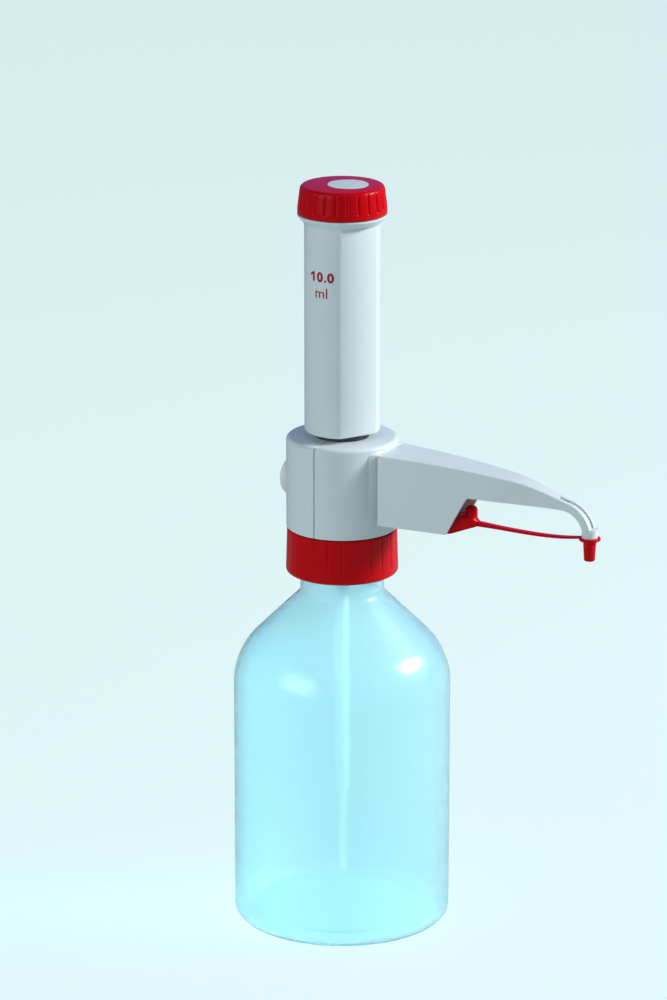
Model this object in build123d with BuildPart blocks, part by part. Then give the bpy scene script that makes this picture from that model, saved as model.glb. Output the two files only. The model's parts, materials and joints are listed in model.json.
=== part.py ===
# Bottle-top dispenser on its one litre reagent bottle, in millimetres.
# The origin is the centre of the bottle's base, +Z is up and the spout points along +X.
import os
from math import atan2, cos, degrees, radians, sin, sqrt, tan

from build123d import *

os.makedirs("parts", exist_ok=True)

# Clearances
seat_gap = 0.05             # between pieces that are pushed or screwed together
lip_gap = 0.05              # between the piston seal and the glass
face_gap = 0.1              # between flat faces that turn or lift away
turning_gap = 0.3           # between pieces that turn or slide past each other

# Bottle
bottle_radius = 51.5
bottle_wall = 1.8
base_rounding = 4.5
straight_height = 118.0     # top of the straight wall
shoulder_rounding = 30.0
shoulder_turn = 45.0        # how far the wall turns in at the shoulder
neck_radius = 19.8
neck_bore_radius = 17.6
neck_rounding = 2.5
neck_length = 9.87          # from the shoulder's cone to the thread
thread_core_radius = 21.0   # the screw thread stands on this, up to thread_crest_radius
thread_crest_radius = 22.5
thread_length = 14.0

# Gasket and adapter plug in the mouth
gasket_thickness = 1.2
plug_flange_thickness = 2.0
plug_flange_radius = 21.8
plug_depth = 6.0
plug_bore_radius = 12.1

# Screw collar
collar_height = 21.45
collar_top_radius = 26.0
collar_bottom_radius = 26.6
collar_lip = 1.8
collar_joint = 0.7          # shadow gap between the collar and the block
collar_rounding = 1.6
flute_count = 24
collar_flute_depth = 0.35
collar_flute_radius = 1.2

# Valve block
block_radius = 26.3
block_height = 44.0
block_rounding = 2.0
shell_wall = 2.2
shell_seam = 0.5
block_flange_radius = 21.5
block_flange_thickness = 2.5
block_neck_radius = 18.3
core_radius = 14.5
core_foot = 1.5             # the core draws in between these two heights above the underside
core_shoulder = 6.0
branch_wall = 2.2
boss_start = 18.0           # the spout's boss starts inside the shell
spigot_length = 3.0         # the boss's spigot, over which the spout cover is pushed
spigot_wall = 1.2
line_rise = 27.8            # height of the discharge line above the block's underside
channel_radius = 1.6

# Valves
ball_radius = 2.4
ball_lift = 1.0
ball_gap = 0.07             # ball to cone, square to the cone's face
port_radius = 1.2
valve_chamber_radius = 2.9
intake_seat_radius = 6.4
intake_seat_rise = 1.0      # above the plug's lower end
intake_seat_height = 11.0
intake_cone_rise = 5.0
intake_tube_stop = 1.0      # the filling tube ends this far inside the flange
intake_flange_radius = 8.5
intake_flange_thickness = 2.5
intake_socket_radius = 4.6
intake_socket_depth = 8.5
cage_thickness = 2.0
cage_hole_count = 4
cage_hole_radius = 0.7
cage_hole_place = 2.0
discharge_valve_radius = 6.0
discharge_valve_start = 11.0
discharge_valve_length = 13.0
discharge_cone_start = 3.0
branch_setback = 2.0        # the branch ends this far before the valve body does
spring_wire_radius = 0.3
spring_coil_radius = 1.9
spring_turns = 3
union_thickness = 3.0
union_step = 1.0
union_spigot = 2.0
tube_grip = 1.0             # depth of the tube's seat in the union's spigot

# Filling tubes
upper_tube_radius = 2.95
upper_tube_bore = 1.58
upper_tube_end = 61.4       # height of its lower end above the base
lower_tube_radius = 1.5
lower_tube_bore = 0.9
lower_tube_end = 20.0
lower_tube_length = 75.0

# Spout
seam_x = 25.8
seam_width = 0.5
spout_top_rise = 40.7       # above the block's underside
spout_floor_rise = 6.9
spout_root_half_width = 13.0
boss_flare = 0.25           # the boss widens towards the block by this slope
spout_middle_x = 60.0
spout_middle_half_width = 9.7
spout_neck_x = 101.0
spout_neck_half_width = 4.9
tip_half_width = 3.6
spout_wall = 1.5
spout_edge = 1.0
spout_slope = 0.03          # fall of the top line at the seam
crown_shares = ((0.36, 0.10), (0.57, 0.23), (0.78, 0.46))    # of its run, of its drop
taper_share = (0.52, 0.41)  # of the run from middle to neck, of the narrowing
cover_turn = 75.0           # where the top line meets the bend
belly_margin = 0.5          # plastic below the tube in the bend
bend_rail = 0.4             # the slot's sides stand this far above the tube
beak_start = 104.0          # solid from here
notch_x = 60.4
notch_run = 10.4
notch_rounding = 2.0
tip_x = 130.3
bend_radius = 13.2
tube_radius = 1.4
tube_bore = 0.8
tip_ring_radius = 3.7
tip_ring_height = 4.2
tip_ring_drop = 0.5         # below the end of the bend
slot_width = 2.6
slot_start = 114.6
nozzle_length = 9.0         # bare tube below the tip ring

# Tip cap, its strap and the holder
cap_flange_radius = 5.0
cap_flange_thickness = 1.3
cap_body_top_radius = 3.1
cap_body_bottom_radius = 2.5
cap_length = 11.0
strap_height = 1.5
strap_tip_height = 0.9
strap_half_width = 1.2
strap_drop = 2.0            # its root hangs this far below the tip ring
strap_sag = 1.4             # below the straight line between its ends
strap_line = ((0.22, 0.62, 1.5), (0.51, 1.0, 1.3), (0.81, 0.79, 1.1))    # share of its run,
                            # of its sag, thickness there
holder_post_x = 69.0
holder_post_radius = 2.9
holder_post_height = 9.3
holder_post_rounding = 2.2
holder_root = 0.6           # the strap starts this far past the post
holder_plate = 3.0
holder_depth = 13.0         # how far it reaches back into the spout
holder_setback = 3.0
holder_web_half_width = 7.9     # at the notch, from where it narrows to the post
holder_web_rise = 5.0       # top of its web above the plate

# Vent at the back of the block
vent_rise = 20.3
vent_radius = 9.0
vent_dome = 2.9
vent_plug_radius = 6.0
vent_plug_length = 7.0
vent_pad_x = 26.4
filter_radius = 4.8
filter_length = 6.6
filter_seat = 2.5           # depth of its seat in the core
vent_pad_overlap = 1.5
vent_pad_margin = 0.2
vent_rounding = 2.2
vent_crown = 1.0

# Pump
barrel_bore_radius = 7.5
barrel_wall = 2.0
stroke = 56.6               # ten millilitres in this bore
barrel_seat_depth = 4.0
barrel_seal_thickness = 1.0
guide_bore_radius = 9.7
guide_radius = 12.4
guide_foot_radius = 14.3
guide_foot_thickness = 2.2
guide_stop_radius = 13.3
guide_stop_height = 3.7
guide_lip = 1.8
piston_radius = 7.2
piston_length = 12.0
piston_start = 2.0          # above the bottom of the glass with the head down
piston_seal_height = 4.0
piston_seal_rise = 2.0
piston_groove = 1.2
piston_socket = 6.0         # floor of the rod's socket above the piston's underside
rod_radius = 3.5
rod_nut_height = 4.0

# Head
head_gap = 2.7              # sleeve above the block with the head down
sleeve_radius = 17.67
sleeve_wall = 1.6
sleeve_length = 103.8
flare_radius = 20.9
flare_height = 4.6
flare_band = 0.8
flare_start_gap = 1.1       # height of the straight stretch between the flat's end and the flare
flare_rounding = 3.5
flare_top_rounding = 1.2
flat_distance = 15.15       # the sleeve's flat, from the axis
flat_rise = 1.9             # the flat runs this far up into the flare
flat_angle = -30.0
sleeve_edge = 1.0
head_joint = 0.2            # fine shadow gap between the sleeve and the cap
bush_height = 4.9
bush_inset = 0.5
bush_gap = 0.25
cap_height = 13.3
cap_bottom_radius = 20.84
cap_top_radius = 19.5
cap_edge_rounding = 2.0
cap_side_rounding = 14.0
cap_band = 2.6              # plain band below the flutes
cap_flute_radius = 0.55
cap_flute_phase = 6.4
cap_wall = 2.0
cap_boss_radius = 6.5
cap_boss_drop = 3.0         # below the skirt
cap_roof_thickness = 3.0
disc_radius = 9.5
disc_thickness = 1.0
disc_proud = 0.15
disc_offset = 2.6
disc_offset_angle = 30.0

# Shoulder and neck of the bottle
shoulder_lift = tan(radians(shoulder_turn / 2))
cone_rise = 1 / tan(radians(shoulder_turn))
shoulder_corner = straight_height + shoulder_rounding * shoulder_lift
cone_top = shoulder_corner + (bottle_radius - neck_radius) * cone_rise
neck_bottom = cone_top + neck_length
mouth_height = neck_bottom + thread_length

# Heights up the axis
gasket_top = mouth_height + gasket_thickness
plug_top = gasket_top + plug_flange_thickness
block_flange_bottom = plug_top + face_gap
block_flange_top = block_flange_bottom + block_flange_thickness
collar_top = block_flange_top + 2 * face_gap + collar_lip
collar_bottom = collar_top - collar_height
block_bottom = collar_top + collar_joint
block_top = block_bottom + block_height
core_top = block_top - shell_wall - face_gap - guide_foot_thickness
barrel_bottom = core_top - barrel_seat_depth
line_height = block_bottom + line_rise
vent_height = block_bottom + vent_rise
sleeve_bottom = block_top + head_gap
sleeve_top = sleeve_bottom + sleeve_length
bush_bottom = sleeve_bottom + bush_inset
bush_top = bush_bottom + bush_height
guide_stop_bottom = bush_top + stroke + face_gap
guide_top = guide_stop_bottom + guide_stop_height
barrel_top = guide_top - guide_lip - face_gap
piston_bottom = barrel_bottom + piston_start
piston_top = piston_bottom + piston_length
cap_bottom = sleeve_top + head_joint
cap_top = cap_bottom + cap_height
barrel_radius = barrel_bore_radius + barrel_wall


def turned(*corners, axis=Axis.Z, mode=Mode.ADD):
    # A profile in the XZ plane, turned about an axis. A third number rounds that corner.
    points = [corner[:2] for corner in corners]
    roundings = [corner[2] if len(corner) > 2 else 0 for corner in corners]
    with BuildSketch(Plane.XZ) as profile:
        with BuildLine():
            FilletPolyline(*points, radius=roundings, close=True)
        make_face()
    revolve(profile.sketch, axis=axis, mode=mode)


def ring(inner, outer, bottom, top, mode=Mode.ADD):
    turned((inner, bottom), (outer, bottom), (outer, top), (inner, top), mode=mode)


def disc(radius, bottom, top, mode=Mode.ADD):
    turned((0, bottom), (radius, bottom), (radius, top), (0, top), mode=mode)


def save(piece, name):
    piece.part.label = name
    export_step(piece.part, f"parts/{name}.step")


# Bottle: a straight body, a rounded shoulder, a cone and a narrower neck under the thread
inner_radius = bottle_radius - bottle_wall
inner_corner = shoulder_corner - bottle_wall * shoulder_lift
inner_cone_top = inner_corner + (inner_radius - neck_bore_radius) * cone_rise
core_step = thread_core_radius - neck_radius
with BuildPart() as bottle:
    turned(
        (0, 0),
        (bottle_radius, 0, base_rounding),
        (bottle_radius, shoulder_corner, shoulder_rounding),
        (neck_radius, cone_top, neck_rounding),
        (neck_radius, neck_bottom - core_step),
        (thread_core_radius, neck_bottom),
        (thread_core_radius, mouth_height, 0.6),
        (neck_bore_radius, mouth_height, 0.6),
        (neck_bore_radius, inner_cone_top, neck_rounding),
        (inner_radius, inner_corner, shoulder_rounding - bottle_wall),
        (inner_radius, bottle_wall, base_rounding - bottle_wall),
        (0, bottle_wall),
    )
save(bottle, "bottle")

# Gasket on the mouth, and the flanged plug that the valve block turns in
plug_radius = neck_bore_radius - turning_gap
with BuildPart() as neck_gasket:
    ring(plug_radius + seat_gap, plug_flange_radius - 0.5, mouth_height, gasket_top)
save(neck_gasket, "neck_gasket")

with BuildPart() as neck_plug:
    ring(plug_bore_radius, plug_flange_radius, gasket_top, plug_top)
    ring(plug_bore_radius, plug_radius, mouth_height - plug_depth, gasket_top)
save(neck_plug, "neck_plug")

# Screw collar: clears the thread's crests below, and its lip draws the block's flange down
collar_bore = thread_crest_radius + 0.4
collar_lip_bore = block_neck_radius + turning_gap + face_gap
with BuildPart() as screw_collar:
    turned(
        (collar_bore, collar_bottom),
        (collar_bottom_radius, collar_bottom, collar_rounding),
        (collar_top_radius, collar_top, 0.4),
        (collar_lip_bore, collar_top),
        (collar_lip_bore, collar_top - collar_lip),
        (collar_bore, collar_top - collar_lip),
    )
    flute_place = collar_bottom_radius + collar_flute_radius - collar_flute_depth
    with Locations(Plane.XY.offset(collar_bottom + collar_height / 2 + collar_rounding)):
        with PolarLocations(flute_place, flute_count):
            Cylinder(collar_flute_radius, collar_height - collar_rounding, mode=Mode.SUBTRACT)
save(screw_collar, "screw_collar")

# Core of the valve block: journal in the plug, flange under the collar's lip, pillar and
# a branch for the discharge valve
intake_seat_bottom = mouth_height - plug_depth + intake_seat_rise
intake_seat_top = intake_seat_bottom + intake_seat_height
cage_top = intake_seat_top + cage_thickness
line_axis = Axis((0, 0, line_height), (1, 0, 0))
branch_end = discharge_valve_start + discharge_valve_length - branch_setback
with BuildPart() as valve_block:
    turned(
        (0, intake_seat_bottom),
        (plug_bore_radius - face_gap, intake_seat_bottom),
        (plug_bore_radius - face_gap, block_flange_bottom),
        (block_flange_radius, block_flange_bottom),
        (block_flange_radius, block_flange_top),
        (block_neck_radius, block_flange_top),
        (block_neck_radius, block_bottom + core_foot),
        (core_radius, block_bottom + core_shoulder),
        (core_radius, core_top),
        (0, core_top),
    )
    with Locations(Plane.YZ.offset(branch_end / 2)):
        with Locations((0, line_height)):
            Cylinder(discharge_valve_radius + branch_wall, branch_end)
    disc(barrel_radius + seat_gap, barrel_bottom - barrel_seal_thickness, core_top, mode=Mode.SUBTRACT)
    disc(intake_seat_radius + seat_gap, intake_seat_bottom, cage_top, mode=Mode.SUBTRACT)
    disc(channel_radius, cage_top, barrel_bottom, mode=Mode.SUBTRACT)
    turned(
        (0, line_height),
        (0, line_height + channel_radius),
        (discharge_valve_start, line_height + channel_radius),
        (discharge_valve_start, line_height + discharge_valve_radius + seat_gap),
        (branch_end, line_height + discharge_valve_radius + seat_gap),
        (branch_end, line_height),
        axis=line_axis,
        mode=Mode.SUBTRACT,
    )
    with Locations(Plane.YZ.offset(-core_radius)):
        with Locations((0, vent_height)):
            Cylinder(filter_radius + seat_gap, 2 * filter_seat, mode=Mode.SUBTRACT)
save(valve_block, "valve_block")

# Intake valve: a nipple for the filling tube, a cone for the ball and a cage above it
cone_depth = valve_chamber_radius - port_radius
half_root = sqrt(0.5)
seat_cone_bottom = intake_seat_bottom + intake_cone_rise
intake_ball_height = seat_cone_bottom - port_radius + (ball_radius + ball_gap) / half_root
intake_socket_bottom = intake_seat_bottom - intake_flange_thickness - intake_socket_depth
tube_seat = intake_seat_bottom - intake_tube_stop
with BuildPart() as intake_valve_seat:
    turned(
        (upper_tube_radius + seat_gap, intake_socket_bottom),
        (intake_socket_radius, intake_socket_bottom),
        (intake_socket_radius, intake_seat_bottom - intake_flange_thickness),
        (intake_flange_radius, intake_seat_bottom - intake_flange_thickness),
        (intake_flange_radius, intake_seat_bottom),
        (intake_seat_radius, intake_seat_bottom),
        (intake_seat_radius, intake_seat_top),
        (valve_chamber_radius, intake_seat_top),
        (valve_chamber_radius, seat_cone_bottom + cone_depth),
        (port_radius, seat_cone_bottom),
        (port_radius, tube_seat),
        (upper_tube_radius + seat_gap, tube_seat),
    )
save(intake_valve_seat, "intake_valve_seat")

with BuildPart() as intake_ball:
    with Locations((0, 0, intake_ball_height)):
        Sphere(ball_radius)
save(intake_ball, "intake_ball")

with BuildPart() as intake_cage:
    disc(intake_seat_radius, intake_seat_top, cage_top)
    cage_roof = intake_ball_height + ball_radius + ball_lift + face_gap
    disc(valve_chamber_radius, intake_seat_top, cage_roof, mode=Mode.SUBTRACT)
    with Locations(Plane.XY.offset(cage_top)):
        with PolarLocations(cage_hole_place, cage_hole_count):
            Cylinder(cage_hole_radius, 4 * cage_thickness, mode=Mode.SUBTRACT)
save(intake_cage, "intake_cage")

# Filling tubes: the lower one telescopes into the upper one
with BuildPart() as upper_filling_tube:
    ring(upper_tube_bore, upper_tube_radius, upper_tube_end, tube_seat - seat_gap)
save(upper_filling_tube, "upper_filling_tube")

with BuildPart() as lower_filling_tube:
    ring(lower_tube_bore, lower_tube_radius, lower_tube_end, lower_tube_end + lower_tube_length)
save(lower_filling_tube, "lower_filling_tube")

# Discharge valve: a body in the branch with its cone, ball, spring and the tube's union
valve_end = discharge_valve_start + discharge_valve_length
discharge_cone = discharge_valve_start + discharge_cone_start
chamber_height = line_height + valve_chamber_radius
with BuildPart() as discharge_valve_body:
    turned(
        (discharge_valve_start, line_height + port_radius),
        (discharge_cone, line_height + port_radius),
        (discharge_cone + cone_depth, chamber_height),
        (valve_end, chamber_height),
        (valve_end, line_height + discharge_valve_radius),
        (discharge_valve_start, line_height + discharge_valve_radius),
        axis=line_axis,
    )
save(discharge_valve_body, "discharge_valve_body")

discharge_ball_x = discharge_cone - port_radius + (ball_radius + ball_gap) / half_root
with BuildPart() as discharge_ball:
    with Locations((discharge_ball_x, 0, line_height)):
        Sphere(ball_radius)
save(discharge_ball, "discharge_ball")

tube_start = valve_end - union_spigot + tube_grip
with BuildPart() as tube_union:
    turned(
        (valve_end - union_spigot, line_height + tube_bore),
        (tube_start, line_height + tube_bore),
        (tube_start, line_height + tube_radius + seat_gap),
        (valve_end + union_thickness, line_height + tube_radius + seat_gap),
        (valve_end + union_thickness, line_height + discharge_valve_radius - union_step),
        (valve_end, line_height + discharge_valve_radius - union_step),
        (valve_end, line_height + valve_chamber_radius - seat_gap),
        (valve_end - union_spigot, line_height + valve_chamber_radius - seat_gap),
        axis=line_axis,
    )
save(tube_union, "tube_union")

coil_reach = ball_radius + spring_wire_radius + seat_gap
spring_start = discharge_ball_x + sqrt(coil_reach**2 - spring_coil_radius**2)
spring_end = valve_end - union_spigot - spring_wire_radius - seat_gap
spring_pitch = (spring_end - spring_start) / spring_turns
with BuildPart() as discharge_spring:
    with BuildLine() as coil:
        Helix(
            pitch=spring_pitch,
            height=spring_end - spring_start,
            radius=spring_coil_radius,
            center=(spring_start, 0, line_height),
            direction=(1, 0, 0),
        )
    with BuildSketch(Plane(origin=coil.line @ 0, z_dir=coil.line % 0)) as wire:
        Circle(spring_wire_radius)
    sweep(wire.sketch, path=coil.line, is_frenet=True)
save(discharge_spring, "discharge_spring")

# Discharge tube: straight out of the union, round the bend and down through the tip
bend_x = tip_x - bend_radius
bend_height = line_height - bend_radius
tip_bottom = bend_height - tip_ring_drop
nozzle_end = tip_bottom - nozzle_length


def tube_path(start):
    with BuildLine(Plane.XZ) as path:
        straight = Line((start, line_height), (bend_x, line_height))
        bend = JernArc(start=straight @ 1, tangent=(1, 0), radius=bend_radius, arc_size=-90)
        Line(bend @ 1, (tip_x, nozzle_end))
    return path.line


with BuildPart() as discharge_tube:
    with BuildSketch(Plane.YZ.offset(tube_start)) as tube_section:
        with Locations((0, line_height)):
            Circle(tube_radius)
            Circle(tube_bore, mode=Mode.SUBTRACT)
    sweep(tube_section.sketch, path=tube_path(tube_start))
save(discharge_tube, "discharge_tube")

# Outline of the spout: a side view and a top view, both drawn in by an inset, whose
# common solid is the spout's block
spout_top = block_bottom + spout_top_rise
spout_floor = block_bottom + spout_floor_rise
bend_cover = bend_radius + tube_radius + bend_rail       # outer radius of the cover in the bend
bend_belly = bend_radius - tube_radius - belly_margin    # its inner radius
side_reach = tip_x + tip_ring_radius + tube_radius       # clear of the tip
ring_top = tip_bottom + tip_ring_height


def spout_solid(inset, start, end, floor, edge=0):
    cover_radius = bend_cover - inset
    arc_start = (
        bend_x + cover_radius * cos(radians(cover_turn)),
        bend_height + cover_radius * sin(radians(cover_turn)),
    )
    arc_direction = (sin(radians(cover_turn)), -cos(radians(cover_turn)))
    run = arc_start[0] - seam_x
    drop = spout_top - inset - arc_start[1]
    crown = [(seam_x + along * run, spout_top - inset - fall * drop) for along, fall in crown_shares]
    with BuildSketch(Plane.XZ) as side:
        with BuildLine():
            level = Line((0, spout_top - inset + spout_slope * seam_x), (seam_x, spout_top - inset))
            top = Spline(level @ 1, *crown, arc_start, tangents=((1, -spout_slope), arc_direction))
            arc = JernArc(start=top @ 1, tangent=arc_direction, radius=cover_radius, arc_size=-cover_turn)
            Polyline(arc @ 1, (bend_x + cover_radius, nozzle_end), (0, nozzle_end), level @ 0)
        make_face()
    root_slope = (spout_middle_half_width - spout_root_half_width) / (spout_middle_x - seam_x)
    narrowing = spout_middle_half_width - spout_neck_half_width
    with BuildSketch(Plane.XY.offset(nozzle_end)) as plan:
        with BuildLine():
            back = Line((0, 0), (0, spout_root_half_width + boss_flare * seam_x - inset))
            boss = Line(back @ 1, (seam_x, spout_root_half_width - inset))
            root = Line(boss @ 1, (spout_middle_x, spout_middle_half_width - inset))
            taper = Spline(
                root @ 1,
                (
                    spout_middle_x + taper_share[0] * (spout_neck_x - spout_middle_x),
                    spout_middle_half_width - taper_share[1] * narrowing - inset,
                ),
                (spout_neck_x, spout_neck_half_width - inset),
                (bend_x, tip_half_width - inset),
                tangents=((1, root_slope), (1, 0)),
            )
            Polyline(taper @ 1, (side_reach, tip_half_width - inset), (side_reach, 0))
            mirror(about=Plane.XZ)
        make_face()
    with BuildPart() as solid:
        extrude(side.sketch, amount=2 * block_radius, both=True)
        extrude(plan.sketch, amount=cap_top, mode=Mode.INTERSECT)
        if edge:
            above = edges().filter_by(lambda e: e.center().X > 1 and e.center().Z > ring_top)
            fillet(above.filter_by(lambda e: abs(e.center().Y) > 1 and abs((e % 0.5).Z) < 0.9), edge)
        with BuildSketch(Plane.XZ) as window:
            with Locations(((start + end) / 2, (floor + cap_top) / 2)):
                Rectangle(end - start, cap_top - floor)
        extrude(window.sketch, amount=2 * block_radius, both=True, mode=Mode.INTERSECT)
    return solid.part


# Block shells: two half cups with a flange below and above, split across the spout
with BuildPart() as cup:
    turned(
        (block_neck_radius + 0.2, block_bottom),
        (block_radius, block_bottom, 0.4),
        (block_radius, block_top, block_rounding),
        (guide_radius + turning_gap, block_top),
        (guide_radius + turning_gap, block_top - shell_wall),
        (block_radius - shell_wall, block_top - shell_wall),
        (block_radius - shell_wall, block_bottom + shell_wall),
        (block_neck_radius + 0.2, block_bottom + shell_wall),
    )

boss_cavity_floor = spout_floor + shell_wall
with BuildPart() as housing_front:
    add(cup.part)
    split(bisect_by=Plane.YZ.offset(shell_seam / 2), keep=Keep.TOP)
    add(spout_solid(0, boss_start, seam_x, spout_floor, edge=spout_edge))
    cover_inside = spout_wall + seat_gap
    spigot_end = seam_x + spigot_length
    add(spout_solid(cover_inside, boss_start, spigot_end, spout_floor + spout_wall))
    add(
        spout_solid(cover_inside + spigot_wall, 0, spigot_end + 1, boss_cavity_floor + spigot_wall),
        mode=Mode.SUBTRACT,
    )
save(housing_front, "housing_front")

vent_axis = Axis((0, 0, vent_height), (1, 0, 0))
with BuildPart() as housing_rear:
    add(cup.part)
    split(bisect_by=Plane.YZ.offset(-shell_seam / 2), keep=Keep.BOTTOM)
    vent_pad_depth = vent_pad_x - block_radius + shell_wall + vent_pad_overlap
    with Locations(Plane.YZ.offset(-vent_pad_x + vent_pad_depth / 2)):
        with Locations((0, vent_height)):
            Cylinder(vent_radius + vent_pad_margin, vent_pad_depth)
    with Locations(Plane.YZ.offset(-block_radius)):
        with Locations((0, vent_height)):
            Cylinder(vent_plug_radius + turning_gap, 4 * shell_wall, mode=Mode.SUBTRACT)
save(housing_rear, "housing_rear")

# Vent cap on the back and the filter behind it
vent_face = vent_pad_x + face_gap
with BuildPart() as vent_cap:
    turned(
        (-vent_face + vent_plug_length, vent_height),
        (-vent_face + vent_plug_length, vent_height + vent_plug_radius),
        (-vent_face, vent_height + vent_plug_radius),
        (-vent_face, vent_height + vent_radius),
        (-vent_face - vent_dome, vent_height + vent_radius, vent_rounding),
        (-vent_face - vent_dome - vent_crown, vent_height),
        axis=vent_axis,
    )
save(vent_cap, "vent_cap")

filter_inner = core_radius - filter_seat + seat_gap
with BuildPart() as vent_filter:
    with Locations(Plane.YZ.offset(-(filter_inner + filter_length / 2))):
        with Locations((0, vent_height)):
            Cylinder(filter_radius, filter_length)
save(vent_filter, "vent_filter")

# Spout cover: a tapering shell, open below, cut away behind its deep root, which turns
# down into a solid beak that holds the tube in a slot
notch_top = bend_height + bend_belly
with BuildPart() as spout_cover:
    add(spout_solid(0, seam_x + seam_width, side_reach, spout_floor, edge=spout_edge))
    with BuildSketch(Plane.XZ) as below:
        with BuildLine():
            belly = CenterArc((bend_x, bend_height), bend_belly, 0, 90)
            FilletPolyline(
                belly @ 1,
                (notch_x + notch_run, notch_top),
                (notch_x, spout_floor),
                (notch_x, spout_floor - 1),
                (side_reach, spout_floor - 1),
                (side_reach, tip_bottom),
                (bend_x + bend_belly, tip_bottom),
                belly @ 0,
                radius=(notch_rounding, 0, 0, 0, 0, 0),
            )
        make_face()
    extrude(below.sketch, amount=block_radius, both=True, mode=Mode.SUBTRACT)
    add(spout_solid(spout_wall, 0, beak_start, spout_floor - 5), mode=Mode.SUBTRACT)
    with Locations((tip_x, 0, tip_bottom + tip_ring_height / 2)):
        Cylinder(tip_ring_radius, tip_ring_height)
    with BuildSketch(Plane.YZ.offset(beak_start - 10)) as tube_room:
        with Locations((0, line_height)):
            Circle(tube_radius + seat_gap)
    sweep(tube_room.sketch, path=tube_path(beak_start - 10), mode=Mode.SUBTRACT)
    with BuildSketch(Plane.XZ) as slot:
        with BuildLine():
            slot_arc = CenterArc((bend_x, bend_height), bend_radius, 15, 75)
            Polyline(
                slot_arc @ 1,
                (slot_start, line_height),
                (slot_start, spout_top),
                (side_reach, spout_top),
                (side_reach, ring_top),
                (bend_x + bend_radius, ring_top),
                slot_arc @ 0,
            )
        make_face()
    extrude(slot.sketch, amount=slot_width / 2, both=True, mode=Mode.SUBTRACT)
save(spout_cover, "spout_cover")

# Tip cap: a flanged, lightly ribbed plug on the bare end of the tube
cap_seat = tip_bottom - face_gap
cap_floor = cap_seat - cap_length
lug_x = tip_x - cap_flange_radius
with BuildPart() as tip_cap:
    turned(
        (tip_x, cap_floor),
        (tip_x + cap_body_bottom_radius, cap_floor, 0.5),
        (tip_x + cap_body_top_radius, cap_seat - cap_flange_thickness),
        (tip_x + cap_flange_radius, cap_seat - cap_flange_thickness, 0.4),
        (tip_x + cap_flange_radius, cap_seat, 0.4),
        (tip_x + tube_radius + seat_gap, cap_seat),
        (tip_x + tube_radius + seat_gap, nozzle_end - 0.3),
        (tip_x, nozzle_end - 0.3),
        axis=Axis((tip_x, 0, 0), (0, 0, 1)),
    )
    with Locations((tip_x, 0, cap_floor)):
        with PolarLocations(cap_body_top_radius + 0.15, 8, start_angle=22.5):
            Cylinder(0.4, 2 * (cap_length - cap_flange_thickness - 1.0), mode=Mode.SUBTRACT)
save(tip_cap, "tip_cap")

# Holder in the notch and the strap that ties the tip cap to it
holder_start = notch_x - holder_depth
strap_start = holder_post_x + holder_post_radius + holder_root
strap_height_start = tip_bottom - strap_drop
holder_bottom = spout_floor + seat_gap
with BuildPart() as holder_web:
    with BuildSketch(Plane.XZ) as wedge:
        with BuildLine():
            FilletPolyline(
                (holder_start, holder_bottom),
                (notch_x + holder_setback / 2, holder_bottom),
                (strap_start, strap_height_start - strap_height),
                (strap_start, strap_height_start + strap_height / 2),
                (holder_post_x, holder_bottom + holder_plate + holder_web_rise),
                (notch_x + notch_run / 2, holder_bottom + holder_plate + holder_web_rise),
                (holder_start, holder_bottom + holder_plate),
                radius=(0, 4.0, 0.3, 0.3, 0, 0, 0),
                close=True,
            )
        make_face()
    extrude(wedge.sketch, amount=holder_web_half_width, both=True)
    with BuildSketch(Plane.XY.offset(holder_bottom)) as wedge_plan:
        Polygon(
            (holder_start, -holder_web_half_width),
            (notch_x, -holder_web_half_width),
            (strap_start, -strap_half_width - holder_root),
            (strap_start, strap_half_width + holder_root),
            (notch_x, holder_web_half_width),
            (holder_start, holder_web_half_width),
            align=None,
        )
    extrude(wedge_plan.sketch, amount=holder_plate + holder_web_rise, mode=Mode.INTERSECT)

with BuildPart() as cap_holder:
    add(spout_solid(cover_inside, holder_start, notch_x - holder_setback, holder_bottom))
    split(bisect_by=Plane.XY.offset(holder_bottom + holder_plate), keep=Keep.BOTTOM)
    add(holder_web.part)
    with BuildSketch(Plane.XY.offset(strap_height_start - strap_height)) as post:
        with Locations((holder_post_x, 0)):
            Circle(holder_post_radius)
    extrude(post.sketch, amount=holder_post_height)
    fillet(faces().sort_by(Axis.Z)[-1].edges(), holder_post_rounding)
save(cap_holder, "cap_holder")

strap_end = lug_x - seat_gap
strap_end_height = cap_seat - cap_flange_thickness / 2
strap_root = strap_start + seat_gap
strap_run = strap_end - strap_root
strap_climb = strap_end_height - strap_height_start
strap_points = [
    (strap_root + along * strap_run, strap_height_start + along * strap_climb - hang * strap_sag, thick)
    for along, hang, thick in strap_line
]
with BuildPart() as cap_strap:
    with BuildSketch(Plane.XZ) as strap_side:
        with BuildLine():
            lower = Spline(
                (strap_root, strap_height_start - strap_height),
                *[(x, z - thick / 2) for x, z, thick in strap_points],
                (strap_end, strap_end_height - strap_tip_height / 2),
            )
            upper = Spline(
                (strap_root, strap_height_start + strap_height / 2),
                *[(x, z + thick / 2) for x, z, thick in strap_points],
                (strap_end, strap_end_height + strap_tip_height / 2),
            )
            Line(lower @ 0, upper @ 0)
            Line(lower @ 1, upper @ 1)
        make_face()
    extrude(strap_side.sketch, amount=strap_half_width, both=True)
save(cap_strap, "cap_strap")

# Pump: a glass barrel on its seal, inside a guide sleeve whose top collar stops the stroke
with BuildPart() as barrel_seal:
    ring(barrel_bore_radius - 2.0, barrel_radius, barrel_bottom - barrel_seal_thickness, barrel_bottom)
save(barrel_seal, "barrel_seal")

with BuildPart() as glass_barrel:
    ring(barrel_bore_radius, barrel_radius, barrel_bottom, barrel_top)
save(glass_barrel, "glass_barrel")

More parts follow.
